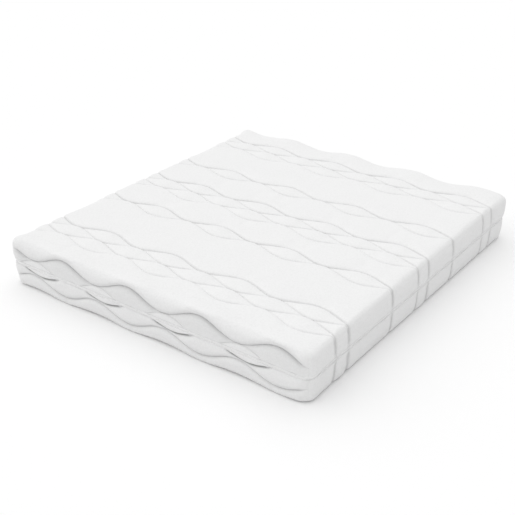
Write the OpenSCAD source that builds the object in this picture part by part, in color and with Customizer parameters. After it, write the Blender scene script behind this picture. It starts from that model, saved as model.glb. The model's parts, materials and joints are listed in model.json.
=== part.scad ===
// Quilted foam mattress in a two-part zip-off cover.
// The frame's origin is at the middle of the base: X across the width, Y along the length, Z up.

/* [Mattress] */
// Width of the mattress
mattress_w = 1800; // [1400:10:2000]
// Length of the mattress
mattress_l = 2000; // [1900:10:2200]
// Height of the mattress
mattress_h = 250; // [245:5:300]
// Radius of every outer edge and corner
edge_r = 45; // [38:1:45]
// Height of the zip's centre line above the base
seam_z = 130; // [126:1:132]

/* [Quilted cover] */
// Thickness of the knitted outer cloth
knit_t = 2.5; // [2:0.5:3]
// Thickness of the wadding under the knit
wadding_t = 14; // [10:1:16]
// Thickness of the lining cloth
lining_t = 1; // [0.6:0.2:1.4]
// Height of the open band between the two hems
band_h = 12; // [11:0.5:16]
// Length of one wave of the quilting
wave_l = 416; // [380:1:460]
// Swing of a wave to each side of its middle line
wave_a = 26; // [20:1:26]
// Distance between neighbouring strands
strand_gap = 55; // [54:1:60]
// Distance from the middle to each outer band of four strands
quad_band_y = 745; // [700:5:770]
// Distance from the middle to each band of two strands
double_band_y = 316; // [260:2:400]
// Width of a thread line
thread_w = 1.6; // [1.2:0.1:2]

/* [Zip] */
// Depth of the zip tape below the outer face
tape_depth = 4.5; // [4.5:0.1:6]
// Thickness of the zip tape
tape_t = 1; // [0.8:0.1:1.2]
// Height of one coil rail
coil_h = 2.4; // [2:0.1:2.5]
// Thickness of a coil rail
coil_t = 2.2; // [1.8:0.1:2.2]
// Place along the length where the slider is parked
park_y = 900; // [700:10:920]
// Length of the slider
slider_l = 13; // [11:0.5:15]
// Length of the pull tab
tab_l = 24; // [18:1:30]

/* [Foam core] */
// Thickness of the knitted sleeve round the foam
sleeve_t = 1; // [0.6:0.2:1.4]
// Thickness of the memory foam
memory_t = 50; // [30:5:70]
// Thickness of the transition foam
transition_t = 40; // [20:5:50]
// Thickness of a glue film
glue_t = 0.5; // [0.3:0.1:0.8]
// Depth of the comfort-zone cuts in the support foam
cut_depth = 35; // [20:5:50]

/* [Hidden] */
$fn = 48;

// Depths of the layers below the outer face
wadding_d = knit_t;
lining_d = wadding_d + wadding_t;
cavity_d = lining_d + lining_t;
side_gap = 0.5;
foam_d = cavity_d + side_gap + sleeve_t;

// Heights of the hems and of the layers in the core
upper_hem_z = seam_z + band_h / 2;
lower_hem_z = seam_z - band_h / 2;
core_z0 = cavity_d;
core_z1 = mattress_h - cavity_d;
foam_z0 = core_z0 + sleeve_t;
foam_z1 = core_z1 - sleeve_t;
memory_z = foam_z1 - memory_t;
transition_z = memory_z - glue_t - transition_t;
support_z = transition_z - glue_t;

// Comfort-zone cuts run across the width
cut_w = 6;
cut_y = [-600, -450, -300, -150, 150, 300, 450, 600];

// Quilting waves
crest_x = -121;
wave_steps = 44;
thread_in = 0.4;
thread_out = 1.4;
flat_x = mattress_w / 2 - edge_r;
bands = [
    [-quad_band_y, 4], [-double_band_y, 2], [0, 4], [double_band_y, 2], [quad_band_y, 4]
];
hem_stitch_up = 3;
hem_stitch_h = 0.8;

// Zip
coil_z = 0.6;
tape_z = coil_z + coil_h;
tape_h = 15;
coil_d = tape_depth + tape_t / 2 - coil_t / 2;
stop_l = 2;
stop_clear = 0.3;
plate_t = 1.1;
plate_gap = 0.5;
slider_h = 10;
outer_plate_d = coil_d - plate_gap - plate_t;
inner_plate_d = coil_d + coil_t + plate_gap;
lip_h = 1;
lip_gap = 0.3;
web_h = 0.8;
web_l = 4;
pivot_d = outer_plate_d - 0.9;
lug_out = 0.8;
pin_r = 0.35;
bore_r = 0.4;
lug_h = 1.2;
lug_z = 1.6;
lug_l = 3;
tab_t = 0.8;
tab_w = 6;
stub_w = 2.8;
stub_l = 4;

// Rectangle with round corners, centred on the origin
module round_rect(w, l, r) {
    square([w - 2 * r, l], center = true);
    square([w, l - 2 * r], center = true);
    for (sx = [-1, 1], sy = [-1, 1])
        translate([sx * (w / 2 - r), sy * (l / 2 - r)]) circle(r = r);
}

// Block with every edge and corner rounded to one radius
module rounded_block(w, l, z0, z1, r) {
    inner_h = z1 - z0 - 2 * r;
    translate([0, 0, z0]) {
        translate([r - w / 2, r - l / 2, 0]) cube([w - 2 * r, l - 2 * r, z1 - z0]);
        translate([-w / 2, r - l / 2, r]) cube([w, l - 2 * r, inner_h]);
        translate([r - w / 2, -l / 2, r]) cube([w - 2 * r, l, inner_h]);
        for (sx = [-1, 1], sy = [-1, 1])
            translate([sx * (w / 2 - r), sy * (l / 2 - r), r]) cylinder(r = r, h = inner_h);
        for (z = [r, r + inner_h]) {
            for (sy = [-1, 1])
                translate([r - w / 2, sy * (l / 2 - r), z]) rotate([0, 90, 0])
                    cylinder(r = r, h = w - 2 * r);
            for (sx = [-1, 1])
                translate([sx * (w / 2 - r), r - l / 2, z]) rotate([-90, 0, 0])
                    cylinder(r = r, h = l - 2 * r);
            for (sx = [-1, 1], sy = [-1, 1])
                translate([sx * (w / 2 - r), sy * (l / 2 - r), z]) sphere(r = r);
        }
    }
}

// The mattress's outer form, drawn in by a depth on every side
module inset_block(depth) {
    w = mattress_w - 2 * depth;
    l = mattress_l - 2 * depth;
    rounded_block(w, l, depth, mattress_h - depth, edge_r - depth);
}

// Everything between two heights
module slab(z0, z1) {
    translate([-mattress_w, -mattress_l, z0]) cube([2 * mattress_w, 2 * mattress_l, z1 - z0]);
}

module upper_part() {
    intersection() {
        children();
        slab(upper_hem_z, mattress_h + 1);
    }
}

module lower_part() {
    intersection() {
        children();
        slab(-1, lower_hem_z);
    }
}

module layer(d0, d1) {
    difference() {
        inset_block(d0);
        inset_block(d1);
    }
}

// Outline of the mattress from above, drawn in by a depth
module plan(depth) {
    round_rect(mattress_w - 2 * depth, mattress_l - 2 * depth, edge_r - depth);
}

// A strip that runs round all four sides
module ring(d0, d1, z0, z1) {
    translate([0, 0, z0]) linear_extrude(z1 - z0) difference() {
        plan(d0);
        plan(d1);
    }
}

// Height of the wave over its middle line at a place across the width, to the nearest 0.01 mm
function wave_y(x, sign) = sign * round(100 * wave_a * cos(360 * (x - crest_x) / wave_l)) / 100;

// One strand as a ribbon in the XY plane, from end to end of the flat face
module wave_ribbon(sign, h) {
    xs = [for (i = [0 : wave_steps]) (2 * i / wave_steps - 1) * flat_x];
    upper_edge = [for (x = xs) [x, wave_y(x, sign) + thread_w / 2]];
    lower_edge = [for (i = [wave_steps : -1 : 0]) [xs[i], wave_y(xs[i], sign) - thread_w / 2]];
    linear_extrude(h) polygon(concat(upper_edge, lower_edge));
}

// One strand over an edge and straight down a long side
module side_run(side, y, d0, d1, hem_z) {
    mirror([side < 0 ? 1 : 0, 0, 0]) {
        translate([flat_x, y + thread_w / 2, mattress_h - edge_r]) rotate([90, 0, 0])
            rotate_extrude(angle = 90)
            translate([edge_r - d1, 0]) square([d1 - d0, thread_w]);
        translate([mattress_w / 2 - d1, y - thread_w / 2, hem_z + 2 * hem_stitch_up])
            cube([d1 - d0, thread_w, mattress_h - edge_r - hem_z - 2 * hem_stitch_up]);
    }
}

// All the strands of one cover half, drawn for the top and its sides down to a hem
module quilting(d0, d1, hem_z) {
    for (band = bands, k = [0 : band[1] - 1]) {
        sign = k % 2 == 0 ? 1 : -1;
        y = band[0] + ((band[1] - 1) / 2 - k) * strand_gap;
        translate([0, y, mattress_h - d1]) wave_ribbon(sign, d1 - d0);
        for (side = [-1, 1])
            side_run(side, y + wave_y(side * flat_x, sign), d0, d1, hem_z);
    }
    for (side = [-1, 1])
        translate([0, side < 0 ? d1 - mattress_l / 2 : mattress_l / 2 - d0, (hem_z + mattress_h - edge_r) / 2])
            rotate([90, 0, 0]) wave_ribbon(1, d1 - d0);
}

module upper_quilting(d0, d1) {
    quilting(d0, d1, upper_hem_z);
}

// The lower half has the same pattern, upside down
module lower_quilting(d0, d1) {
    translate([0, 0, mattress_h]) mirror([0, 0, 1]) quilting(d0, d1, mattress_h - lower_hem_z);
}

// Zip parts are drawn as offsets up from the centre line, for the upper tape
module zip_side(up) {
    translate([0, 0, seam_z]) mirror([0, 0, up > 0 ? 0 : 1]) children();
}

module tape() {
    ring(tape_depth, tape_depth + tape_t, tape_z, tape_z + tape_h);
}

// Room along the left side with no coil in it
module coil_break(y0, y1) {
    translate([-mattress_w / 2, y0, 0]) cube([3 * tape_depth, y1 - y0, tape_z]);
}

module stop(y) {
    d0 = coil_d - stop_clear;
    translate([d0 - mattress_w / 2, y, coil_z]) cube([coil_t + 2 * stop_clear, stop_l, coil_h]);
}

upper_break = [park_y - slider_l / 2 - 1, park_y + slider_l / 2 + 3];
lower_break = [park_y + slider_l / 2 + 0.5, park_y + slider_l / 2 + 0.5 + 3 * stop_l];

module coil(gap) {
    difference() {
        ring(coil_d, coil_d + coil_t, coil_z, coil_z + coil_h);
        coil_break(gap[0], gap[1]);
    }
}

module stops(gap) {
    stop(gap[0]);
    stop(gap[1] - stop_l);
}

module upper_cover_knit() {
    color([0.94, 0.94, 0.93]) difference() {
        upper_part() layer(0, knit_t);
        upper_quilting(-1, thread_out);
        hem_line(-1, thread_out, 1);
    }
}

module hem_line(d0, d1, up) {
    z = seam_z + up * (band_h / 2 + hem_stitch_up);
    ring(d0, d1, z - hem_stitch_h / 2, z + hem_stitch_h / 2);
}

module upper_cover_wadding() {
    color([0.97, 0.97, 0.95]) difference() {
        upper_part() layer(wadding_d, lining_d);
        zip_side(1) tape();
    }
}

module upper_cover_lining() {
    color([0.88, 0.88, 0.86]) upper_part() layer(lining_d, cavity_d);
}

module upper_quilting_thread() {
    color("white") upper_quilting(thread_in, thread_out);
}

module upper_hem_stitching() {
    color("white") hem_line(thread_in, thread_out, 1);
}

module upper_zip_tape() {
    color([0.9, 0.9, 0.89]) zip_side(1) tape();
}

module upper_zip_coil() {
    color([0.95, 0.95, 0.95]) zip_side(1) coil(upper_break);
}

module upper_zip_stops() {
    color("silver") zip_side(1) stops(upper_break);
}

module lower_cover_knit() {
    color([0.94, 0.94, 0.93]) difference() {
        lower_part() layer(0, knit_t);
        lower_quilting(-1, thread_out);
        hem_line(-1, thread_out, -1);
    }
}

module lower_cover_wadding() {
    color([0.97, 0.97, 0.95]) difference() {
        lower_part() layer(wadding_d, lining_d);
        zip_side(-1) tape();
    }
}

module lower_cover_lining() {
    color([0.88, 0.88, 0.86]) lower_part() layer(lining_d, cavity_d);
}

module lower_quilting_thread() {
    color("white") lower_quilting(thread_in, thread_out);
}

module lower_hem_stitching() {
    color("white") hem_line(thread_in, thread_out, -1);
}

module lower_zip_tape() {
    color([0.9, 0.9, 0.89]) zip_side(-1) tape();
}

module lower_zip_coil() {
    color([0.95, 0.95, 0.95]) zip_side(-1) coil(lower_break);
}

module lower_zip_stops() {
    color("silver") zip_side(-1) stops(lower_break);
}

module core_sleeve() {
    color([0.9, 0.9, 0.88]) difference() {
        core_form(0);
        core_form(sleeve_t);
    }
}

// The core fills the cover's cavity in height and has a small gap at its sides
module core_form(depth) {
    inset = cavity_d + side_gap + depth;
    w = mattress_w - 2 * inset;
    l = mattress_l - 2 * inset;
    rounded_block(w, l, core_z0 + depth, core_z1 - depth, edge_r - inset);
}

module foam_slice(z0, z1) {
    intersection() {
        core_form(sleeve_t);
        slab(z0, z1);
    }
}

module memory_foam() {
    color([0.96, 0.93, 0.84]) foam_slice(memory_z, foam_z1);
}

module upper_glue_film() {
    color([0.9, 0.87, 0.75]) foam_slice(memory_z - glue_t, memory_z);
}

module transition_foam() {
    color([0.78, 0.86, 0.92]) foam_slice(transition_z, transition_z + transition_t);
}

module lower_glue_film() {
    color([0.9, 0.87, 0.75]) foam_slice(support_z, transition_z);
}

module support_foam() {
    color([0.95, 0.95, 0.95]) difference() {
        foam_slice(foam_z0, support_z);
        for (y = cut_y)
            translate([-mattress_w, y - cut_w / 2, foam_z0 - 1]) cube([2 * mattress_w, cut_w, cut_depth + 1]);
    }
}

// A flat plate of the slider between two depths, centred on the parked place
module slider_plate(d0, d1, z0, z1, y0, y1) {
    translate([d0 - mattress_w / 2, park_y + y0, seam_z + z0]) cube([d1 - d0, y1 - y0, z1 - z0]);
}

module zip_slider() {
    half_h = slider_h / 2;
    half_l = slider_l / 2;
    plate_in = outer_plate_d + plate_t;
    color("gainsboro") difference() {
        union() {
            slider_plate(outer_plate_d, plate_in, -half_h, half_h, -half_l, half_l);
            slider_plate(inner_plate_d, inner_plate_d + plate_t, -half_h, half_h, -half_l, half_l);
            for (side = [-1, 1]) {
                z0 = min(side * half_h, side * (half_h - lip_h));
                slider_plate(plate_in, tape_depth - lip_gap, z0, z0 + lip_h, -half_l, half_l);
                slider_plate(tape_depth + tape_t + lip_gap, inner_plate_d, z0, z0 + lip_h, -half_l, half_l);
                z1 = side > 0 ? lug_z : -lug_z - lug_h;
                slider_plate(pivot_d - lug_out, outer_plate_d, z1, z1 + lug_h, -lug_l / 2, lug_l / 2);
            }
            slider_plate(plate_in, inner_plate_d, -web_h / 2, web_h / 2, half_l - web_l, half_l);
        }
        translate([pivot_d - mattress_w / 2, park_y, seam_z - half_h]) cylinder(r = bore_r, h = slider_h);
    }
}

module pull_tab() {
    pin_h = 2 * (lug_z + lug_h);
    color("gainsboro") translate([pivot_d - mattress_w / 2, park_y, seam_z]) {
        translate([0, 0, -pin_h / 2]) cylinder(r = pin_r, h = pin_h);
        translate([-tab_t / 2, -stub_l, -stub_w / 2]) cube([tab_t, stub_l, stub_w]);
        difference() {
            translate([-tab_t / 2, -tab_l, -tab_w / 2]) cube([tab_t, tab_l - stub_l + 1, tab_w]);
            translate([-tab_t, tab_w / 2 - tab_l, 0]) rotate([0, 90, 0]) cylinder(r = tab_w / 4, h = 2 * tab_t);
        }
    }
}

lower_cover_knit();
lower_cover_wadding();
lower_cover_lining();
lower_quilting_thread();
lower_hem_stitching();
lower_zip_tape();
lower_zip_coil();
lower_zip_stops();
upper_cover_knit();
upper_cover_wadding();
upper_cover_lining();
upper_quilting_thread();
upper_hem_stitching();
upper_zip_tape();
upper_zip_coil();
upper_zip_stops();
core_sleeve();
memory_foam();
upper_glue_film();
transition_foam();
lower_glue_film();
support_foam();
zip_slider();
pull_tab();
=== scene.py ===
"""Quilted foam mattress: a zip-off cover in two halves over a layered foam core, built round the frame."""

import json
import math

import bpy
import numpy as np
from mathutils import Matrix, Vector

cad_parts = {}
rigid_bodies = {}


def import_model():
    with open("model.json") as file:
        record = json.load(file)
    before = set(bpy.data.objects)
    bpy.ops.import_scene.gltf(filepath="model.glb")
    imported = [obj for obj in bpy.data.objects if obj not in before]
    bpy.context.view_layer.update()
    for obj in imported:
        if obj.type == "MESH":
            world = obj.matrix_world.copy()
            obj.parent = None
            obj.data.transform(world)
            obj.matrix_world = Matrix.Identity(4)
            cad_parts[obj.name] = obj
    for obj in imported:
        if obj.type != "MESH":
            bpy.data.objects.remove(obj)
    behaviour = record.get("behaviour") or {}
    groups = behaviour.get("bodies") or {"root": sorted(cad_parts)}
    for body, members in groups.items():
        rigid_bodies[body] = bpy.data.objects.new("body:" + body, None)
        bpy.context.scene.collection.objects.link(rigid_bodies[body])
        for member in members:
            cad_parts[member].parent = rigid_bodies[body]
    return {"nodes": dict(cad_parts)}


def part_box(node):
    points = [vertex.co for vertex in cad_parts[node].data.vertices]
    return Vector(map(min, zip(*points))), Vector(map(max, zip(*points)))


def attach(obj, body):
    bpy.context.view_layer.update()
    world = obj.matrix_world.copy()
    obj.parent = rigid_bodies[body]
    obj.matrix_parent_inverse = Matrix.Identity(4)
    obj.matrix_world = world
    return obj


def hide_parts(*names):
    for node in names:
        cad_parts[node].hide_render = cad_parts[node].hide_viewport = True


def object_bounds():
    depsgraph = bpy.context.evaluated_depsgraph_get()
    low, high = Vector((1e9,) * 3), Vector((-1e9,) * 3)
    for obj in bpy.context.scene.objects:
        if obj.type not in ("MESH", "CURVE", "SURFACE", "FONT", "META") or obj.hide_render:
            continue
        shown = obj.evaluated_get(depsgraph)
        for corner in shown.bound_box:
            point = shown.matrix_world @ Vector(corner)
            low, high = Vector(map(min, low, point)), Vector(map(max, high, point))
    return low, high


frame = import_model()
cad_lo, cad_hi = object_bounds()

# ---- sizes from the frame, in metres ---------------------------------------------------------------
HALF_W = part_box("upper_cover_knit")[1].x
HALF_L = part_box("upper_cover_knit")[1].y
HEIGHT = cad_hi.z
UPPER_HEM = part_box("upper_cover_knit")[0].z
LOWER_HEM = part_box("lower_cover_knit")[1].z
SEAM = (UPPER_HEM + LOWER_HEM) / 2
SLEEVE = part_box("core_sleeve")[1]
SLEEVE_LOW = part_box("core_sleeve")[0].z
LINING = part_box("upper_cover_lining")[1]
LINING_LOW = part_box("lower_cover_lining")[0].z
TAPE_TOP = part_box("upper_zip_tape")[1].z - UPPER_HEM
TAPE_SHORT = 0.0004  # each tape stops this short of the seam
TAPE_LOW = TAPE_SHORT - (UPPER_HEM - SEAM)
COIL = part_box("upper_zip_coil")

# ---- the cover's form --------------------------------------------------------------------------------
BULGE = 0.012  # the sides stand out this far at the zip
FACE_W = HALF_W - BULGE
FACE_L = HALF_L - BULGE
TOP_Z = HEIGHT - 0.006  # the flat of the top, below the highest rolls
CORNER_R = 0.046
LONG_EDGE_R = 0.014
END_EDGE_R = 0.021
END_EDGE_SWAY = 0.4  # the end edges are tight over the crests of the quilting and soft over its troughs
BASE_INSET = 0.042  # the base curves up over this width, and by this height
BASE_RISE = 0.0115
BASE_SWAY = 0.60  # it rises more under the troughs of the quilting
FLOOR_GAP = 0.0004
CORNER_OUT = 0.010  # the top corners stand out this far
CORNER_REACH = 0.08

# ---- the quilting of the top and base ------------------------------------------------------------------
WAVE = 0.416
SWING = 0.0280
STRAND_GAP = 0.0543
CREST_X = -0.1195
LAG = 0.020  # every second strand runs this far behind
BANDS = [(-0.742, 4), (-0.300, 2), (0.008, 4), (0.332, 2), (0.750, 4)]  # place along the length, strands
STITCH_DEPTH = [0.0068, 0.0042, 0.0052, 0.0032]  # from a band's back strand to its front one
# painted shade along each strand, from a band's back strand to its front one
STITCH_SHADE = [0.75, 0.32, 0.45, 0.22]
CREASE = 0.0045  # half the width of the painted shade along a stitch line
LENS_SWELL = 0.034  # share of its width that a lens stands up
LENS_WIDE = 0.030  # narrower than this, a lens is less full
PLAIN_REACH = 0.030  # a plain panel rounds off over this width
PLAIN_CROWN = 0.0008
BESIDE = 0.022  # a low swell runs this far beside the outer strands
BESIDE_WIDTH = 4  # times as wide as a crease
BESIDE_SWELL = 0.0016 / STITCH_DEPTH[0]

# ---- the quilting of the end faces -----------------------------------------------------------------------
# False stands for the upper half and True for the lower one, -1 for the front end and 1 for the back one.
END_WAVE = 0.423
END_CREST = -0.110
END_SWING = 0.0286
END_A = 0.0706  # height of the deep strand's middle line above the seam
END_DEPTH = 0.0095
# painted shade along the deep strand
END_SHADE = {False: 0.55, True: 0.35}
END_B = {False: 0.0133, True: 0.0137}  # the strand nearest the seam, of which only arcs are seen
END_B_SWING = {False: 0.0286, True: 0.0215}
END_LAG = {False: 0.025, True: 0.062}
ARC_DEPTH = {False: 0.0040, True: 0.0088}
ARC_LIP = {False: 0.0, True: 0.0020}  # the cloth below an arc puffs out
# painted shade along the arcs, far darker on the lower half
ARC_SHADE = {False: 0.35, True: 3.0}
ARC_REACH = 0.010  # the cloth rounds off into an arc over this height
ARC_CLEAR = 0.004  # an arc's row of points stays this far from the hem
ARC_FULL = 0.012  # an arc is at its full depth this far from the hem
END_LENS_SWELL = 0.10  # share of its height that a lens stands out
END_LENS_MOST = 0.007  # and the most that it can
END_LENS_HIGH = 0.025  # lower than this, a lens is less full
# painted shade over the upper half's end lenses, which tilt up towards the light
END_LENS_SHADE = {False: 0.28, True: 0.0}
TROUGH = 0.0035  # the hollow under the deep strand, where a lens is open
TROUGH_REACH = 0.024
TROUGH_OPEN = 0.03
SOFT_SHADE, SOFT_SWAY, SOFT_TURN = 0.9, 0.7, 0.9  # the painted soft shade in that hollow
SOFT_REACH = 0.016
PAINTED_SHADE_ABOVE = {False: 1.1, True: 0.0}  # the painted soft shade above the deep strand
PAINTED_SHADE_ABOVE_REACH = 0.020
ROLL = {-1: 0.007, 1: 0.010}  # the roll of cloth above the deep strand, at the front and at the back
ROLL_SWAY = {-1: 0.35, 1: 0.60}  # it is fuller over the crests
ROLL_LAG = 0.02
ROLL_REACH = 0.030
ROLL_FADE = 0.13  # it dies away this far in over the top
CORNER_BLEND = 0.05  # the end faces' quilting fades out this far from their corners

# ---- the quilting of the long sides ----------------------------------------------------------------------
SIDE_DEPTH = 0.0085
SIDE_REACH = 0.020
SIDE_SWELL = 0.0020
SIDE_SWELL_REACH = 0.05
SIDE_SWELL_RISE = 0.3  # share of the height over which that swell sets in
HEM_PINCH = 0.12  # share of a groove's depth that is left at the hem
PINCH_RISE = 0.25
EDGE_BLEND = 0.03  # the top's relief turns into the side's within this height
END_BLEND = 0.2  # the end faces' rows turn into even ones within this length
ROW_EVEN = 0.4  # share of even spacing in those rows; the rest crowds them towards the top

# ---- the grids: columns, rows in a band, in a plain panel, at the ends of the top, and on a side ---------
FINE = (150, 12, 18, 20, (6, 8, 10))
COARSE = (92, 4, 7, 8, (3, 4, 5))
PLAIN = (90, 6, 9, 12, (4, 5, 8))
CORNER_STEPS = 8  # closer columns at each corner
CORNER_SPREAD = 1.25  # over this many corner radii


def smooth(t):
    t = np.clip(t, 0.0, 1.0)
    return t * t * (3.0 - 2.0 * t)


def pillow(t):
    """0 at t = 0, rising like a quarter ellipse to 1 at t = 1."""
    return np.sqrt(np.clip(1.0 - (1.0 - np.clip(t, 0.0, 1.0)) ** 2, 0.0, 1.0))


def dome(t):
    """0 at t = 0 and t = 1, and 1 half-way between, like an arch."""
    return np.sqrt(np.clip(1.0 - (2.0 * t - 1.0) ** 2, 0.0, 1.0))


def line(distance):
    """1 on a stitch line, fading out within a few millimetres."""
    return np.exp(-((distance / CREASE) ** 2))


def spaced(n):
    """n + 1 fractions from 0 to 1, close together at both ends."""
    return (1 - np.cos(np.pi * np.arange(n + 1) / n)) / 2


def top_strands(x):
    """Every strand on the top, from front to back: its place along the length, its depth and its painted
    shade.
    """
    rows = []
    for centre, count in BANDS:
        for k in reversed(range(count)):
            sign = 1 if k % 2 == 0 else -1
            lag = 0.0 if k % 2 == 0 else LAG
            middle = centre + ((count - 1) / 2 - k) * STRAND_GAP
            y = middle + sign * SWING * np.cos(2 * np.pi * (x - CREST_X - lag) / WAVE)
            rows.append((y, STITCH_DEPTH[k], STITCH_SHADE[k]))
    return rows


def end_strands(x, mirrored):
    """Heights of the end faces' two strands above the seam, the one nearest the seam first."""
    phase = 2 * np.pi * (x - END_CREST) / END_WAVE
    a = END_A + END_SWING * np.cos(phase)
    b = END_B[mirrored] - END_B_SWING[mirrored] * np.cos(phase - 2 * np.pi * END_LAG[mirrored] / END_WAVE)
    return b, a


# ---- a block with round edges, as a wrapped grid ---------------------------------------------------
class Form:
    """Half sizes and rounding of a block whose upper half is being drawn. up is its top above the seam."""

    def __init__(self, half_w, half_l, up, hem, corner, long_edge, end_edge, edge_up, bulge, mirrored=False):
        self.half_w, self.half_l, self.up, self.hem = half_w, half_l, up, hem
        self.corner, self.long_edge, self.end_edge = corner, long_edge, end_edge
        self.edge_up, self.bulge, self.mirrored = edge_up, bulge, mirrored
        self.sway = 0.0
        if bulge:
            self.sway = BASE_SWAY if mirrored else END_EDGE_SWAY

    def wrap(self, x, y, z):
        """Points of the sharp block, moved onto the round one, and their outward normals."""
        ax, ay = np.abs(x), np.abs(y)
        cx, cy = self.half_w - self.corner, self.half_l - self.corner
        qx, qy = ax - cx, ay - cy
        in_corner = (qx > 0) & (qy > 0)
        q = np.maximum(np.hypot(qx, qy), 1e-9)
        on_x = (self.half_w - ax) < (self.half_l - ay)
        nx = np.where(in_corner, qx / q, np.where(on_x, 1.0, 0.0))
        ny = np.where(in_corner, qy / q, np.where(on_x, 0.0, 1.0))
        bx = np.where(in_corner, cx + self.corner * nx, np.where(on_x, self.half_w, ax))
        by = np.where(in_corner, cy + self.corner * ny, np.where(on_x, ay, self.half_l))
        sway = self.sway * ny**2 * np.cos(2 * np.pi * (x - END_CREST) / END_WAVE)
        edge = self.long_edge * nx**2 + self.end_edge * ny**2
        if self.edge_up:
            edge_up = self.edge_up * (1 - sway)
        else:
            edge = edge * (1 - sway)
            edge_up = edge
        inset = np.minimum(self.half_w - ax, self.half_l - ay)
        drop = self.up - z
        on_top = drop < 1e-9
        turn = (math.pi / 4) * np.where(
            on_top, 1 - np.clip(inset / edge, 0, 1), 1 + np.clip(drop / edge_up, 0, 1)
        )
        flat = on_top & (inset >= edge)
        out = np.where(flat, -inset, edge * (np.sin(turn) - 1.0))
        up = np.where(flat, self.up, self.up - edge_up + edge_up * np.cos(turn))
        up = np.where(~on_top & (drop >= edge_up), z, up)
        rise = np.clip(up / self.up, 0, 1)
        out = out + self.bulge * (1 - rise**3) * np.sin(turn)
        if self.bulge and not self.mirrored:
            near_x = 1 - smooth((self.half_w - ax) / CORNER_REACH)
            near_y = 1 - smooth((self.half_l - ay) / CORNER_REACH)
            out = out + CORNER_OUT * rise * near_x * near_y * np.sin(turn)
        level = np.sin(turn) * edge_up
        steep = np.cos(turn) * edge
        size = np.maximum(np.hypot(level, steep), 1e-12)
        sx, sy = np.where(x < 0, -1.0, 1.0), np.where(y < 0, -1.0, 1.0)
        p = np.stack([sx * (bx + out * nx), sy * (by + out * ny), up], -1)
        n = np.stack([sx * nx * level / size, sy * ny * level / size, steep / size], -1)
        return p, n


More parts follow.
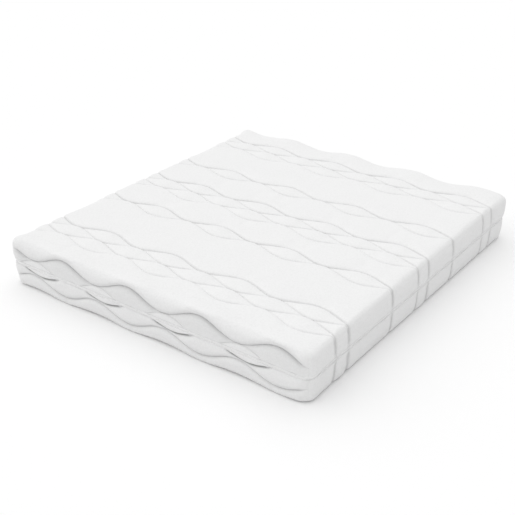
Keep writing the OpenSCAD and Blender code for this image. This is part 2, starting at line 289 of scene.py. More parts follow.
class Grid:
    """Top and four sides of a half block, in rows that follow the quilting."""

    def __init__(self, form, columns, in_band, plain, ends, rows, mirrored):
        self.form, self.mirrored = form, mirrored
        corner = CORNER_SPREAD * form.corner
        edge = corner * (1 - np.cos(np.pi / 2 * np.arange(CORNER_STEPS) / CORNER_STEPS))
        middle = np.linspace(corner - form.half_w, form.half_w - corner, columns - 2 * CORNER_STEPS)
        self.x = np.concatenate([edge - form.half_w, middle, form.half_w - edge[::-1]])
        self.in_band, self.plain, self.ends, self.rows = in_band, plain, ends, rows
        self.sheets = {"top": self.top(), "front": self.end(-1), "back": self.end(1)}
        self.sheets["right"], self.sheets["left"] = self.side(1), self.side(-1)
        self.join()

    def top(self):
        """The top, or the base: places, heights and painted shades, row by row from front to back."""
        x, form = self.x, self.form
        strands = top_strands(x)
        plain_after = set(np.cumsum([count for _, count in BANDS]).tolist())
        lines = [-form.half_l + 0 * x] + [s[0] for s in strands] + [form.half_l + 0 * x]
        depth = [0.0] + [s[1] for s in strands] + [0.0]
        shade = [0.0] + [s[2] for s in strands] + [0.0]
        y, h, c = [lines[0][None]], [np.zeros((1, len(x)))], [np.zeros((1, len(x)))]
        self.strand_rows, steps = [], [np.zeros(1)]
        last = len(lines) - 2
        for i in range(last + 1):
            wide = i in (0, last) or i in plain_after
            n = self.ends if i in (0, last) else self.plain if wide else self.in_band
            t = spaced(n)[1:, None]
            steps.append(i + np.arange(1, n + 1) / n)
            gap = (lines[i + 1] - lines[i])[None]
            y.append(lines[i] + gap * t)
            h.append(self.between(t, gap, depth[i], depth[i + 1], wide))
            # painted shade along the strands on both sides of the gap
            c.append(shade[i] * line(t * gap) + shade[i + 1] * line((1 - t) * gap))
            if i < last:
                self.strand_rows.append(sum(len(a) for a in y) - 1)
        y, h, c = np.concatenate(y), np.concatenate(h), np.clip(np.concatenate(c), 0, 1)
        self.y, self.top_steps = y, np.concatenate(steps)
        steps = [i + np.arange(1, n + 1) / n for i, n in enumerate(self.rows)]
        self.end_steps = np.concatenate([[0.0], *steps])
        b, a = end_strands(x, self.mirrored)
        for sign, over in ((-1, y + form.half_l), (1, form.half_l - y)):
            near = over < ROLL_FADE
            roll = self.roll((form.up - a)[None] + over, over, x[None], sign)
            h = np.where(near, h + roll + self.corner_swell(1.0, over, x[None], sign), h)
        return np.broadcast_to(x, y.shape), y, np.full_like(y, form.up), h, c

    @staticmethod
    def between(t, gap, near, far, wide):
        """Height of the cloth between two strands: a pillow in a lens, flat where they are far apart."""
        if wide:
            reach = np.minimum(PLAIN_REACH, gap / 2)
            rise_near = pillow(t * gap / reach) if near else 1.0
            rise_far = pillow((1 - t) * gap / reach) if far else 1.0
            beside = line((t * gap - BESIDE) / BESIDE_WIDTH) * near
            beside = beside + line(((1 - t) * gap - BESIDE) / BESIDE_WIDTH) * far
            swell = PLAIN_CROWN * dome(t) + BESIDE_SWELL * beside
            return swell - near * (1 - rise_near) - far * (1 - rise_far)
        full = dome(t)
        kiss = np.clip(gap / LENS_WIDE, 0, 1)
        return LENS_SWELL * gap * full - (near * (1 - t) + far * t) * (1 - kiss * full)

    def inner(self, x):
        """1 along an end face, falling to 0 at its corners."""
        return smooth((self.form.half_w - np.abs(x)) / CORNER_BLEND)

    @staticmethod
    def roll_size(x, sign):
        """How far an end's roll of cloth stands out."""
        wave = np.cos(2 * np.pi * (x - END_CREST - ROLL_LAG) / END_WAVE)
        return ROLL[sign] * (1 + ROLL_SWAY[sign] * wave)

    def roll(self, past, over, x, sign):
        """Height above an end's deep strand: past is the way up from it, over the part past the edge."""
        rise = pillow(past / ROLL_REACH)
        swell = self.roll_size(x, sign) * (1 - smooth(over / ROLL_FADE))
        return self.inner(x) * (swell * rise - END_DEPTH * (1 - rise))

    def corner_swell(self, level, over, x, sign):
        """The roll at a corner, over the whole height: level is 0 at the hem and 1 at the top or base."""
        near = 1 - smooth(over / CORNER_REACH)
        rising = -level * near if self.mirrored else level * (1 - smooth(over / ROLL_FADE))
        return self.roll_size(x, sign) * (1 - self.inner(x)) * (near + rising) / 2

    def end(self, sign):
        """An end face: rows from the hem to the first strand, to the deep strand, and to the top."""
        form, x = self.form, self.x
        b, a = end_strands(x, self.mirrored)
        first = np.maximum(b, form.hem + ARC_CLEAR)
        t1, t2, t3 = (spaced(n)[1:, None] for n in self.rows)
        z1 = form.hem + (first - form.hem) * t1
        z2 = first + (a - first) * t2
        z3 = a + (form.up - a) * t3
        z = np.concatenate([np.full((1, len(x)), form.hem), z1, z2, z3])
        shown = smooth((b - form.hem) / ARC_FULL) * self.inner(x)
        self.z, self.row_b, self.row_a, self.seen_b = z, len(t1), len(t1) + len(t2), shown
        h1, h2 = self.end_heights(t1, t2, first, a)
        h3 = self.roll(z3 - a, 0.0, x[None], sign)
        h = np.concatenate([np.zeros((1, len(x))), h1, h2, h3])
        h = h + self.corner_swell((z - form.hem) / (form.up - form.hem), 0.0, x[None], sign)
        c = np.concatenate([np.zeros((1, len(x))), *self.end_shades(t1, t2, t3, first, a)])
        return np.broadcast_to(x, z.shape), np.full_like(z, sign * form.half_l), z, h, c

    @staticmethod
    def lens_fullness(t, lens):
        """How full a lens is at a share t of its height."""
        return dome(t) * np.clip(lens / END_LENS_HIGH, 0, 1)

    def end_heights(self, t1, t2, first, a):
        """Height of an end face's cloth below the first strand, and between it and the deep one."""
        lens, inner = a - first, self.inner(self.x)
        deep_b, deep_a = ARC_DEPTH[self.mirrored] * self.seen_b, END_DEPTH * inner
        h1 = ARC_LIP[self.mirrored] * self.seen_b * dome(t1)
        h1 = h1 - deep_b * (1 - pillow((1 - t1) * (first - self.form.hem) / ARC_REACH))
        full = self.lens_fullness(t2, lens)
        swell = np.clip(END_LENS_SWELL * lens, 0, END_LENS_MOST)
        hollow = TROUGH * (1 - smooth((1 - t2) * lens / TROUGH_REACH)) * smooth(lens / TROUGH_OPEN)
        h2 = inner * full * (swell - hollow) - (deep_b * (1 - t2) + deep_a * t2) * (1 - full)
        return h1, h2

    def end_shades(self, t1, t2, t3, first, a):
        """Painted shade of an end face's cloth below, between and above its two strands."""
        lens, inner = a - first, self.inner(self.x)
        under, above = (1 - t2) * lens, t3 * (self.form.up - a)
        arc, deep = ARC_SHADE[self.mirrored] * self.seen_b, END_SHADE[self.mirrored] * inner
        phase = 2 * np.pi * (self.x - END_CREST) / END_WAVE
        soft = (SOFT_SHADE + SOFT_SWAY * np.cos(phase - SOFT_TURN)) * smooth(lens / TROUGH_OPEN)
        soft = soft * np.exp(-((under / SOFT_REACH) ** 2))
        # painted shade that darkens the upper lenses
        tint_and_painted_shade = END_LENS_SHADE[self.mirrored] * self.lens_fullness(t2, lens) * inner
        c1 = arc * line((1 - t1) * (first - self.form.hem))
        c2 = arc * line(t2 * lens) + deep * (line(under) + soft) + tint_and_painted_shade
        c3 = deep * (line(above) + PAINTED_SHADE_ABOVE[self.mirrored] * np.exp(-((above / PAINTED_SHADE_ABOVE_REACH) ** 2)))
        return c1, c2, c3

    def side_rows(self, y, col):
        """Heights of a long side's rows: those of the end faces at its ends, and even ones between."""
        form = self.form
        u = np.linspace(0, 1, len(self.z))[:, None]
        spacing = ROW_EVEN * u + (1 - ROW_EVEN) * np.sin(u * np.pi / 2)
        even = form.hem + (form.up - form.hem) * spacing
        mix = smooth((form.half_l - np.abs(y)) / END_BLEND)[None]
        return self.z[:, col][:, None] * (1 - mix) + even * mix

    def side(self, sign):
        """A long side, with a straight groove below the end of every strand of the top."""
        form = self.form
        col = -1 if sign > 0 else 0
        y = self.y[:, col]
        z = self.side_rows(y, col)
        away = np.abs(y[:, None] - y[self.strand_rows][None]).min(1)[None]
        height = (z - form.hem) / (form.up - form.hem)
        pinch = HEM_PINCH + (1 - HEM_PINCH) * smooth(height / PINCH_RISE)
        groove = -SIDE_DEPTH * (1 - pillow(away / SIDE_REACH)) * pinch
        groove = groove + SIDE_SWELL * smooth(away / SIDE_SWELL_REACH) * smooth(height / SIDE_SWELL_RISE)
        over = (form.half_l - np.abs(y))[None]
        swell = [self.corner_swell(height, over, self.x[col], end) for end in (-1, 1)]
        groove = groove + np.where(y < 0, *swell)
        down = np.clip((form.up - z) / EDGE_BLEND, 0, 1)
        h = self.sheets["top"][3][:, col][None] * (1 - down) + groove * down
        # painted shade along each groove, and the top's painted shade near the edge
        c = self.sheets["top"][4][:, col][None] * (1 - down) + line(away) * pinch * down
        return np.full_like(z, sign * form.half_w), np.broadcast_to(y, z.shape), z, h, c

    def join(self):
        """One list of points, the faces, and each sheet's point numbers."""
        keys, sharp, h, c, faces = {}, [], [], [], []
        self.ids = {}
        for label, (x, y, z, height, shade) in self.sheets.items():
            ids = np.empty(x.shape, int)
            for at in np.ndindex(x.shape):
                key = (round(float(x[at]), 6), round(float(y[at]), 6), round(float(z[at]), 6))
                if key not in keys:
                    keys[key] = len(sharp)
                    sharp.append((x[at], y[at], z[at]))
                    h.append(height[at])
                    c.append(shade[at])
                ids[at] = keys[key]
            quads = np.stack([ids[:-1, :-1], ids[:-1, 1:], ids[1:, 1:], ids[1:, :-1]], -1).reshape(-1, 4)
            faces.append(quads[:, ::-1] if label in ("back", "left") else quads)
            self.ids[label] = ids
        self.sharp, self.h, self.c = np.array(sharp), np.array(h), np.array(c)
        self.faces = np.concatenate(faces)
        self.swell = np.zeros(len(h))
        self.p, self.n = self.form.wrap(*self.sharp.T)
        ids = self.ids
        ring = [ids["front"][0, :-1], ids["right"][0, :-1], ids["back"][0, :0:-1], ids["left"][0, :0:-1]]
        self.ring = np.concatenate(ring)

    def surface(self, inward=0.0):
        """Points of the quilted surface, moved in by a depth. What rests on the floor doesn't swell down."""
        h = self.h - inward
        p = self.p + self.n * h[:, None]
        if self.mirrored:
            p[:, 2] = self.p[:, 2] + self.n[:, 2] * np.minimum(h, 0)
        return p


def up_or_down(p, mirrored):
    """Heights above the seam, drawn up for the upper half and down for the lower one."""
    q = p.copy()
    q[:, 2] = SEAM - p[:, 2] if mirrored else SEAM + p[:, 2]
    if mirrored:
        q[:, 2] = np.maximum(q[:, 2], FLOOR_GAP)
    return q


def make_mesh(name, p, faces, mirrored=False, shade=None):
    """A smooth mesh object from points above the seam and quads."""
    mesh = bpy.data.meshes.new(name)
    quads = faces[:, ::-1] if mirrored else faces
    mesh.from_pydata(up_or_down(p, mirrored).tolist(), [], quads.tolist())
    if shade is not None:
        # the painted shade of each point, which darkens the cloth's colour in the material
        layer = mesh.attributes.new("painted_shade", "FLOAT", "POINT")
        layer.data.foreach_set("value", shade.astype(np.float32))
    mesh.polygons.foreach_set("use_smooth", [True] * len(mesh.polygons))
    mesh.update()
    obj = bpy.data.objects.new(name, mesh)
    bpy.context.scene.collection.objects.link(obj)
    return obj


def ring_frame(grid):
    """Points and level outward directions round the hem."""
    p = grid.surface()[grid.ring]
    n = grid.n[grid.ring].copy()
    n[:, 2] = 0
    return p, n / np.linalg.norm(n, axis=1)[:, None]


def swept(points, outward, profile, closed):
    """Points and quads of a profile of (depth, rise) pairs carried round a closed ring."""
    rows = [points - outward * depth + np.array([0, 0, rise]) for depth, rise in profile]
    count, n = len(rows), len(points)
    p = np.concatenate(rows)
    i = np.arange(n)
    j = (i + 1) % n
    steps = range(count) if closed else range(count - 1)
    quads = []
    for k in steps:
        m = (k + 1) % count
        quads.append(np.stack([k * n + i, m * n + i, m * n + j, k * n + j], -1))
    return p, np.concatenate(quads)


def tube(path, normal, radius, sides=4, lift=None):
    """A thin round tube along a path, as points and quads."""
    along = np.gradient(path, axis=0)
    along /= np.maximum(np.linalg.norm(along, axis=1), 1e-12)[:, None]
    across = np.cross(along, normal)
    across /= np.maximum(np.linalg.norm(across, axis=1), 1e-12)[:, None]
    up = np.cross(across, along)
    centre = path if lift is None else path + normal * lift[:, None]
    a = 2 * np.pi * (np.arange(sides) + 0.5) / sides
    size = np.broadcast_to(radius, (len(path),))[:, None, None]
    wheel = np.cos(a)[None, :, None] * across[:, None] + np.sin(a)[None, :, None] * up[:, None]
    p = (centre[:, None] + size * wheel).reshape(-1, 3)
    i = np.arange(len(path) - 1)[:, None] * sides
    k = np.arange(sides)[None]
    m = (k + 1) % sides
    return p, np.stack([i + k, i + m, i + sides + m, i + sides + k], -1).reshape(-1, 4)


def resampled(path, normal, step):
    """A path and its normals at even steps along its length."""
    way = np.concatenate([[0], np.cumsum(np.linalg.norm(np.diff(path, axis=0), axis=1))])
    at = np.arange(0, way[-1], step)
    even = np.stack([np.interp(at, way, path[:, k]) for k in range(3)], -1)
    facing = np.stack([np.interp(at, way, normal[:, k]) for k in range(3)], -1)
    return even, facing / np.linalg.norm(facing, axis=1)[:, None], at


def gather(parts):
    """Several point and quad lists as one."""
    points, quads, start = [], [], 0
    for p, f in parts:
        points.append(p)
        quads.append(f + start)
        start += len(p)
    return np.concatenate(points), np.concatenate(quads)


# ---- materials -----------------------------------------------------------------------------------------
def new_material(name, roughness):
    """A new material, its node tree and its surface shader."""
    mat = bpy.data.materials.new(name)
    mat.use_nodes = True
    tree = mat.node_tree
    bsdf = tree.nodes["Principled BSDF"]
    bsdf.inputs["Roughness"].default_value = roughness
    return mat, tree, bsdf


def textured(tree, kind, scale):
    """A texture node in object coordinates."""
    node = tree.nodes.new(kind)
    node.inputs["Scale"].default_value = scale
    place = tree.nodes.new("ShaderNodeTexCoord")
    tree.links.new(place.outputs["Object"], node.inputs["Vector"])
    return node


def spread(tree, value, lo, hi, clamp=True):
    """Maps a value from 0-1 to lo-hi, and past them too unless it is clamped."""
    node = tree.nodes.new("ShaderNodeMapRange")
    node.clamp = clamp
    node.inputs["To Min"].default_value = lo
    node.inputs["To Max"].default_value = hi
    tree.links.new(value, node.inputs["Value"])
    return node.outputs["Result"]


def times(tree, a, b):
    """The product of two values."""
    node = tree.nodes.new("ShaderNodeMath")
    node.operation = "MULTIPLY"
    tree.links.new(a, node.inputs[0])
    tree.links.new(b, node.inputs[1])
    return node.outputs["Value"]


def bumped(tree, bsdf, height, distance, strength, under=None):
    """Gives the surface a fine relief, on top of another one if there is one under it."""
    node = tree.nodes.new("ShaderNodeBump")
    node.inputs["Distance"].default_value = distance
    node.inputs["Strength"].default_value = strength
    tree.links.new(height, node.inputs["Height"])
    if under is not None:
        tree.links.new(under, node.inputs["Normal"])
    tree.links.new(node.outputs["Normal"], bsdf.inputs["Normal"])
    return node.outputs["Normal"]


def grey(tree, bsdf, value, tint_and_painted_shade=(1.0, 1.0, 1.0)):
    """Sets the base colour from a value and a tint."""
    mix = tree.nodes.new("ShaderNodeVectorMath")
    mix.operation = "SCALE"
    mix.inputs[0].default_value = tint_and_painted_shade
    tree.links.new(value, mix.inputs["Scale"])
    tree.links.new(mix.outputs["Vector"], bsdf.inputs["Base Color"])


def cloth_material(name, light, tint_and_painted_shade, cell, depth, roughness=0.95, sheen=0.1, contrast=0.012):
    """Knitted or woven cloth: small cells, finer yarn, and painted shade along the stitch creases."""
    mat, tree, bsdf = new_material(name, roughness)
    bsdf.inputs["Sheen Weight"].default_value = sheen
    bsdf.inputs["Specular IOR Level"].default_value = 0.2
    cells = textured(tree, "ShaderNodeTexVoronoi", 1 / cell)
    yarn = textured(tree, "ShaderNodeTexNoise", 4 / cell)
    patches = textured(tree, "ShaderNodeTexNoise", 9.0)
    painted_shade = tree.nodes.new("ShaderNodeAttribute")
    painted_shade.attribute_name = "painted_shade"
    value = spread(tree, cells.outputs["Distance"], light * (1 + contrast), light * (1 - contrast))
    value = times(tree, value, spread(tree, patches.outputs["Fac"], 0.99, 1.01))
    # painted shade: the stored value darkens the colour by a fifth per unit, without a clamp
    value = times(tree, value, spread(tree, painted_shade.outputs["Fac"], 1.0, 0.80, False))
    grey(tree, bsdf, value, tint_and_painted_shade)
    fine = bumped(tree, bsdf, yarn.outputs["Fac"], depth * 0.5, 0.5)
    bumped(tree, bsdf, cells.outputs["Distance"], depth, 0.5, fine)
    return mat


def foam_material(name, tint_and_painted_shade, cell):
    """Cut foam: open cells of two sizes."""
    mat, tree, bsdf = new_material(name, 1.0)
    bsdf.inputs["Specular IOR Level"].default_value = 0.1
    large = textured(tree, "ShaderNodeTexVoronoi", 1 / cell)
    small = textured(tree, "ShaderNodeTexNoise", 5 / cell)
    value = spread(tree, large.outputs["Distance"], 0.82, 1.05)
    value = times(tree, value, spread(tree, small.outputs["Fac"], 0.9, 1.08))
    grey(tree, bsdf, value, tint_and_painted_shade)
    bumped(tree, bsdf, large.outputs["Distance"], cell * 0.3, 0.6)
    return mat


def metal_material(name):
    """Die-cast zinc with a fine grain."""
    mat, tree, bsdf = new_material(name, 0.35)
    bsdf.inputs["Metallic"].default_value = 1.0
    grain = textured(tree, "ShaderNodeTexNoise", 900.0)
    grey(tree, bsdf, spread(tree, grain.outputs["Fac"], 0.68, 0.8))
    rough = spread(tree, grain.outputs["Fac"], 0.28, 0.45)
    tree.links.new(rough, bsdf.inputs["Roughness"])
    bumped(tree, bsdf, grain.outputs["Fac"], 0.0001, 0.3)
    return mat


def glue_material(name):
    """A thin film of dried glue, glossier in patches."""
    mat, tree, bsdf = new_material(name, 0.4)
    patches = textured(tree, "ShaderNodeTexNoise", 60.0)
    grey(tree, bsdf, spread(tree, patches.outputs["Fac"], 0.6, 0.85), (1.0, 0.94, 0.78))
    tree.links.new(spread(tree, patches.outputs["Fac"], 0.25, 0.6), bsdf.inputs["Roughness"])
    bumped(tree, bsdf, patches.outputs["Fac"], 0.0003, 0.4)
    return mat


MATERIALS = {
    "cover_knit": cloth_material("cover_knit", 0.84, (1, 1, 1), 0.009, 0.0009, contrast=0.03),
    "wadding": cloth_material("wadding", 0.86, (1, 0.995, 0.98), 0.020, 0.0030),
    "lining": cloth_material("lining", 0.80, (1, 1, 1), 0.003, 0.0003),
    # the thread is painted darker than the knit, as painted shade along the stitch lines
    "thread": cloth_material("thread", 0.72, (1, 1, 1), 0.0012, 0.0002),
    # the tape is lighter than the knit: partly its own white, partly painted light that offsets the shade of
    # the seam recess
    "zip_tape": cloth_material("zip_tape", 0.96, (1, 1, 1), 0.0015, 0.0003),
    "zip_coil": cloth_material("zip_coil", 0.88, (1, 1, 1), 0.004, 0.0001, 0.4, 0.0),
    "zip_metal": metal_material("zip_metal"),
    "sleeve": cloth_material("sleeve", 0.82, (1, 0.99, 0.97), 0.0025, 0.0005),
    "memory_foam": foam_material("memory_foam", (0.93, 0.92, 0.86), 0.0016),
    "glue": glue_material("glue"),
    "transition_foam": foam_material("transition_foam", (0.80, 0.87, 0.92), 0.0022),
    "support_foam": foam_material("support_foam", (0.90, 0.90, 0.90), 0.0028),
}


def finish(obj, material, body, *nodes):
    """Gives a piece its material and body, and hides the CAD nodes that it stands for."""
    obj.data.materials.append(MATERIALS[material])
    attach(obj, body)
    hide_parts(*nodes)
    return obj


# ---- the cloth simulation ------------------------------------------------------------------------------
SIM_FRAMES = 18
SIM_PRESSURE = 2.0
SIM_SPARE = 0.035  # share of spare cloth, which puckers beside the stitches
SWELL_MIN, SWELL_MAX = -0.0008, 0.0040
ARC_HELD = 0.3  # arcs fainter than this don't hold the cloth


def held_points(grid):
    """Numbers of the points that stitches and the hem hold still."""
    ids = grid.ids
    held = [grid.ring]
    for row in grid.strand_rows:
        held += [ids["top"][row], ids["left"][:, row], ids["right"][:, row]]
    for label in ("front", "back"):
        held.append(ids[label][grid.row_a])
        held.append(ids[label][grid.row_b][grid.seen_b > ARC_HELD])
    return np.unique(np.concatenate(held))


def simulated_swell(grid):
    """Blows the cloth out between its stitches. Gives how far each point moves along its normal."""
    obj = make_mesh("trial_cloth", grid.surface(), grid.faces)
    start = np.empty(len(grid.p) * 3)
    obj.data.vertices.foreach_get("co", start)
    held = obj.vertex_groups.new(name="held")
    held.add(held_points(grid).tolist(), 1.0, "REPLACE")
    cloth = obj.modifiers.new("cloth", "CLOTH")
    cloth.point_cache.frame_start, cloth.point_cache.frame_end = 1, SIM_FRAMES
    cloth.collision_settings.use_collision = False
    cloth.collision_settings.use_self_collision = False
    fabric = cloth.settings
    fabric.quality = 6
    fabric.mass = 0.2
    fabric.tension_stiffness = fabric.compression_stiffness = 14
    fabric.shear_stiffness = 5
    fabric.bending_stiffness = 0.4
    fabric.vertex_group_mass = "held"
    fabric.use_pressure = True
    fabric.uniform_pressure_force = SIM_PRESSURE
    fabric.shrink_min = fabric.shrink_max = -SIM_SPARE
    fabric.effector_weights.gravity = 0
    for number in range(1, SIM_FRAMES + 1):
        bpy.context.scene.frame_set(number)
    settled = obj.evaluated_get(bpy.context.evaluated_depsgraph_get()).data
    end = np.empty(len(grid.p) * 3)
    settled.vertices.foreach_get("co", end)
    mesh = obj.data
    bpy.data.objects.remove(obj)
    bpy.data.meshes.remove(mesh)
    bpy.context.scene.frame_set(1)
    moved = (end - start).reshape(-1, 3)
    return np.clip((moved * grid.n).sum(1), SWELL_MIN, SWELL_MAX)


def onto(values, rows, cols, new_rows, new_cols):
    """A sheet of values at new row and column places, smoothed a little."""
    a = np.stack([np.interp(new_rows, rows, values[:, j]) for j in range(len(cols))], 1)
    b = np.stack([np.interp(new_cols, cols, row) for row in a], 0)
    for _ in range(2):
        b[1:-1] = (b[:-2] + 2 * b[1:-1] + b[2:]) / 4
        b[:, 1:-1] = (b[:, :-2] + 2 * b[:, 1:-1] + b[:, 2:]) / 4
    return b


def add_swell(grid, coarse):
    """Carries the coarse cloth's simulated swell over to the fine grid."""
    swell = simulated_swell(coarse)
    for label, ids in coarse.ids.items():
        along = label in ("left", "right")
        cols, new_cols = (coarse.top_steps, grid.top_steps) if along else (coarse.x, grid.x)
        tall = label != "top"
        rows, new_rows = (coarse.end_steps, grid.end_steps) if tall else (coarse.top_steps, grid.top_steps)
        fine = onto(swell[ids], rows, cols, new_rows, new_cols)
        grid.swell[grid.ids[label]] = fine
    grid.h = grid.h + grid.swell


# ---- the cover's pieces ----------------------------------------------------------------------------------
HEM_FOLD = [  # the cloth turned in at a hem: depth behind the face, and height above its edge
    (0.0, 0.0), (0.0006, -0.0005), (0.0016, -0.0006), (0.0026, 0.0), (0.0030, 0.0040), (0.0032, 0.0110),
]
LINING_INSET = 0.018  # the lining's corners are this much tighter than the knit's
LINING_SHARE = 0.07  # share of the quilting's relief that shows on the lining
WADDING_UNDER = 0.0012  # the wadding starts this far under the knit
WADDING_HEM = 0.0055  # and this much further in behind a hem
WADDING_HEM_TOP, WADDING_HEM_BLEND = 0.012, 0.008
WADDING_OVER = 0.0007  # it ends this far above the lining
STITCH = 0.0075
STITCH_STEP = 0.0030  # distance between the points along a thread
THREAD_R, THREAD_SWELL = 0.0007, 0.0002
THREAD_LIFT, THREAD_DIVE = 0.0002, 0.0005
ARC_SEWN = 0.15  # arcs fainter than this carry no stitches
HEM_STITCH_RISE = 0.0032
HEM_STITCH_OUT = 0.0004
TAPE_EDGE = 0.0026  # depth of the tape's free edge, which stands in front of the coil
TAPE_FACE = 0.0036
TAPE_T = 0.0008
TAPE_THIN = 0.0002
COIL_DEPTH = 0.0053
COIL_PITCH = 0.0030
COIL_STEP = 0.0005  # distance between the points along the coil
COIL_WIDE, COIL_HIGH = 0.0006, 0.0009  # half its width and half its height
COIL_WIRE = 0.0003  # radius of its wire
COIL_FACING = 0.9  # what faces the side more than this is on the straight run


def cover_form(mirrored):
    """The knit's form: edges round on top, and a base that curves up at its rim."""
    if mirrored:
        hem = SEAM - LOWER_HEM
        return Form(FACE_W, FACE_L, SEAM, hem, CORNER_R, BASE_INSET, BASE_INSET, BASE_RISE, BULGE, True)
    hem = UPPER_HEM - SEAM
    return Form(FACE_W, FACE_L, TOP_Z - SEAM, hem, CORNER_R, LONG_EDGE_R, END_EDGE_R, None, BULGE)


def lining_form(mirrored):
    """The lining's form, smooth and without a bulge."""
    up = SEAM - LINING_LOW if mirrored else LINING.z - SEAM
    radius = CORNER_R - LINING_INSET
    return Form(LINING.x, LINING.y, up, UPPER_HEM - SEAM, radius, radius, radius, None, 0.0)


def make_knit(half, mirrored):
    """The quilted outer cloth, with its hem turned in."""
    grid = Grid(cover_form(mirrored), *FINE, mirrored)
    add_swell(grid, Grid(cover_form(mirrored), *COARSE, mirrored))
    ring, outward = ring_frame(grid)
    fold = swept(ring, outward, HEM_FOLD, False)
    p, faces = gather([(grid.surface(), grid.faces), fold])
    # painted shade of the quilting; the hem fold gets none
    shade = np.concatenate([grid.c, np.zeros(len(fold[0]))])
    knit = make_mesh(f"{half}_quilted_knit", p, faces, mirrored, shade)
    finish(knit, "cover_knit", f"{half}_cover", f"{half}_cover_knit")
    return grid, knit


def make_lining_and_wadding(half, mirrored):
    """The lining inside, and the wadding between it and the knit."""
    outer = Grid(cover_form(mirrored), *PLAIN, mirrored)
    inner = Grid(lining_form(mirrored), *PLAIN, mirrored)
    lining_p = inner.p - inner.n * (LINING_SHARE * outer.h)[:, None]
    lining = make_mesh(f"{half}_inner_lining", lining_p, inner.faces, mirrored)
    finish(lining, "lining", f"{half}_cover", f"{half}_cover_lining")
    above = outer.p[:, 2] - outer.form.hem
    behind_hem = 1 - smooth((above - WADDING_HEM_TOP) / WADDING_HEM_BLEND)
    outer_p = outer.surface(WADDING_UNDER + WADDING_HEM * behind_hem)
    inner_p = lining_p + inner.n * WADDING_OVER
    n = len(outer_p)
    ring = outer.ring
    after = np.roll(ring, -1)
    rim = np.stack([ring, ring + n, after + n, after], -1)
    faces = np.concatenate([outer.faces, outer.faces[:, ::-1] + n, rim])
    wadding = make_mesh(f"{half}_quilt_wadding", np.concatenate([outer_p, inner_p]), faces, mirrored)
    finish(wadding, "wadding", f"{half}_cover", f"{half}_cover_wadding")
    return lining, wadding


def stitch_tube(path, normal):
    """A stitched thread: it rises and dives once in every stitch."""
    path, normal, way = resampled(path, normal, STITCH_STEP)
    beat = np.cos(2 * np.pi * way / STITCH)
    return tube(path, normal, THREAD_R + THREAD_SWELL * beat, 4, THREAD_LIFT + THREAD_DIVE * beat)


def make_threads(half, mirrored, grid):
    """Stitches along every strand of one half."""
    p, n, ids = grid.surface(), grid.n, grid.ids
    runs = []
    for row in grid.strand_rows:
        left, right = ids["left"][:-1, row], ids["right"][-2::-1, row]
        runs.append(np.concatenate([left[1:], ids["top"][row], right[:-1]]))
    for label in ("front", "back"):
        runs.append(ids[label][grid.row_a])
        visible = np.flatnonzero(grid.seen_b > ARC_SEWN)
        for piece in np.split(visible, np.flatnonzero(np.diff(visible) > 1) + 1):
            if len(piece) > 3:
                runs.append(ids[label][grid.row_b][piece])
    q, f = gather([stitch_tube(p[run], n[run]) for run in runs])
    thread = make_mesh(f"{half}_quilting_stitches", q, f, mirrored)
    finish(thread, "thread", f"{half}_cover", f"{half}_quilting_thread")


def closed_ring(grid):
    """The hem's points and outward directions, with the first one again at the end."""
    ring, outward = ring_frame(grid)
    return np.concatenate([ring, ring[:1]]), np.concatenate([outward, outward[:1]])


def make_hem_stitches(half, mirrored, grid):
    """The straight row of stitches along a hem."""
    ring, outward = closed_ring(grid)
    q, f = stitch_tube(ring + np.array([0, 0, HEM_STITCH_RISE]) + outward * HEM_STITCH_OUT, outward)
    stitches = make_mesh(f"{half}_hem_stitches", q, f, mirrored)
    finish(stitches, "thread", f"{half}_cover", f"{half}_hem_stitching")


def make_tape(half, mirrored, grid):
    """The woven tape behind a hem."""
    low, high = TAPE_LOW, TAPE_TOP
    profile = [
        (TAPE_EDGE, low),
        (TAPE_EDGE - TAPE_THIN, low + TAPE_T),
        (TAPE_FACE, high),
        (TAPE_FACE + TAPE_T, high),
        (TAPE_EDGE + TAPE_T, low),
    ]
    q, f = swept(*ring_frame(grid), profile, True)
    tape = make_mesh(f"{half}_woven_tape", q, f, mirrored)
    return finish(tape, "zip_tape", f"{half}_cover", f"{half}_zip_tape")


def make_coil(half, mirrored, grid):
    """The spiral along a tape's edge. It has a gap on the left side, between the zip's end stops."""
    ring, outward = closed_ring(grid)
    path, facing, way = resampled(ring - outward * COIL_DEPTH, outward, COIL_STEP)
    turn = 2 * np.pi * way / COIL_PITCH + (math.pi if mirrored else 0.0)
    path = path + facing * (COIL_WIDE * np.cos(turn))[:, None]
    path[:, 2] = (COIL[0].z + COIL[1].z) / 2 - SEAM + COIL_HIGH * np.sin(turn)
    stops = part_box(f"{half}_zip_stops")
    in_gap = (path[:, 1] > stops[0].y) & (path[:, 1] < stops[1].y)
    kept = np.flatnonzero(~(in_gap & (path[:, 0] < 0) & (np.abs(facing[:, 0]) > COIL_FACING)))
    parts = []
    for piece in np.split(kept, np.flatnonzero(np.diff(kept) > 1) + 1):
        if len(piece) > 3:
            parts.append(tube(path[piece], facing[piece], COIL_WIRE, 3))
    coil = make_mesh(f"{half}_spiral_coil", *gather(parts), mirrored)
    finish(coil, "zip_coil", f"{half}_cover", f"{half}_zip_coil")


for half, mirrored in (("upper", False), ("lower", True)):
    grid, knit = make_knit(half, mirrored)
    lining, wadding = make_lining_and_wadding(half, mirrored)
    make_threads(half, mirrored, grid)
    make_hem_stitches(half, mirrored, grid)
    tape = make_tape(half, mirrored, grid)
    make_coil(half, mirrored, grid)


# ---- the core ----------------------------------------------------------------------------------------
SLEEVE_LAP = 0.004  # the sleeve's two shells overlap this far
SLEEVE_R = 0.0270
SLEEVE_STEP = 0.0003  # the inner shell's depth behind the outer one, and the size of the ripple


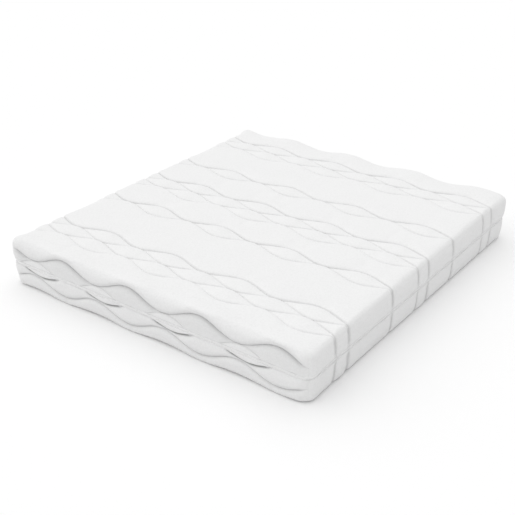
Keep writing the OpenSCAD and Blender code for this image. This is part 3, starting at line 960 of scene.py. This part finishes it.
def make_sleeve():
    """The knitted sleeve round the foam, in two shells that overlap at a seam round the middle."""
    middle = (SLEEVE.z + SLEEVE_LOW) / 2
    up = SLEEVE.z - middle
    form = Form(SLEEVE.x, SLEEVE.y, up, 0.0, SLEEVE_R, SLEEVE_R, SLEEVE_R, None, 0.0)
    grid = Grid(form, *PLAIN, False)
    x, y, z = grid.p.T
    ripple = np.sin(31 * x + 3 * np.sin(9 * y)) * np.sin(23 * y + 4 * np.sin(7 * x) + 11 * z)
    p = grid.p - grid.n * (SLEEVE_STEP + SLEEVE_STEP * ripple)[:, None]
    rising = p + np.array([0, 0, middle - SEAM])
    falling = (p - SLEEVE_STEP * grid.n) * np.array([1, 1, -1]) + np.array([0, 0, middle - SEAM])
    falling[grid.ring, 2] += SLEEVE_LAP
    halves = [(rising, grid.faces), (falling, grid.faces[:, ::-1])]
    sleeve = make_mesh("core_stockinette", *gather(halves))
    return finish(sleeve, "sleeve", "foam_core", "core_sleeve")


sleeve = make_sleeve()

NODE_MATERIALS = {
    "memory_foam": "memory_foam",
    "upper_glue_film": "glue",
    "transition_foam": "transition_foam",
    "lower_glue_film": "glue",
    "support_foam": "support_foam",
    "zip_slider": "zip_metal",
    "pull_tab": "zip_metal",
    "upper_zip_stops": "zip_metal",
    "lower_zip_stops": "zip_metal",
}
for node, material in NODE_MATERIALS.items():
    obj = frame["nodes"][node]
    obj.data.materials.clear()
    obj.data.materials.append(MATERIALS[material])


# ---- floor, light and camera ---------------------------------------------------------------------------
CAMERA_AT = Vector((2.5785, -3.6976, 2.3574))
CAMERA_YAW, CAMERA_PITCH, CAMERA_ROLL = (math.radians(a) for a in (35.785, 27.599, 0.361))
CAMERA_LENS = 65.84
FLOOR_HALF = 30.0
FLOOR_LIGHT = 0.945
SKY = 0.57
KEY = 0.515
KEY_FROM = Vector((-0.30, -0.02, 0.92))
KEY_ANGLE = math.radians(115)


def make_camera():
    """The photo's camera, turned by its yaw, pitch and roll."""
    cam = bpy.data.cameras.new("camera")
    cam.lens, cam.sensor_width = CAMERA_LENS, 36.0
    cam.dof.use_dof = False
    obj = bpy.data.objects.new("camera", cam)
    bpy.context.scene.collection.objects.link(obj)
    look = Vector((
        -math.sin(CAMERA_YAW) * math.cos(CAMERA_PITCH),
        math.cos(CAMERA_YAW) * math.cos(CAMERA_PITCH),
        -math.sin(CAMERA_PITCH),
    ))
    level = look.cross(Vector((0, 0, 1))).normalized()
    above = level.cross(look)
    right = level * math.cos(CAMERA_ROLL) + above * math.sin(CAMERA_ROLL)
    up = above * math.cos(CAMERA_ROLL) - level * math.sin(CAMERA_ROLL)
    turned = Matrix((right, up, -look)).transposed().to_4x4()
    obj.matrix_world = Matrix.Translation(CAMERA_AT) @ turned
    bpy.context.scene.camera = obj


def make_floor():
    """A plain white studio floor."""
    s = FLOOR_HALF
    mesh = bpy.data.meshes.new("floor")
    mesh.from_pydata([(-s, -s, 0), (s, -s, 0), (s, s, 0), (-s, s, 0)], [], [(0, 1, 2, 3)])
    floor = bpy.data.objects.new("floor", mesh)
    bpy.context.scene.collection.objects.link(floor)
    mat, tree, bsdf = new_material("studio_floor", 1.0)
    bsdf.inputs["Base Color"].default_value = (FLOOR_LIGHT, FLOOR_LIGHT, FLOOR_LIGHT, 1)
    bsdf.inputs["Specular IOR Level"].default_value = 0.0
    mesh.materials.append(mat)


def make_light():
    """A white sky, which the camera sees brighter than the cloth does, and one very wide sun."""
    world = bpy.data.worlds.new("studio")
    bpy.context.scene.world = world
    world.use_nodes = True
    tree = world.node_tree
    sky = tree.nodes["Background"]
    sky.inputs["Color"].default_value = (1, 1, 1, 1)
    rays = tree.nodes.new("ShaderNodeLightPath")
    tree.links.new(spread(tree, rays.outputs["Is Camera Ray"], SKY, 1.0), sky.inputs["Strength"])
    sun = bpy.data.lights.new("key", "SUN")
    sun.energy = KEY * math.pi
    sun.angle = KEY_ANGLE
    obj = bpy.data.objects.new("key", sun)
    bpy.context.scene.collection.objects.link(obj)
    obj.rotation_mode = "QUATERNION"
    obj.rotation_quaternion = KEY_FROM.to_track_quat("Z", "Y")
    view = bpy.context.scene.view_settings
    view.view_transform = "Standard"
    view.look = "None"


make_camera()
make_floor()
make_light()
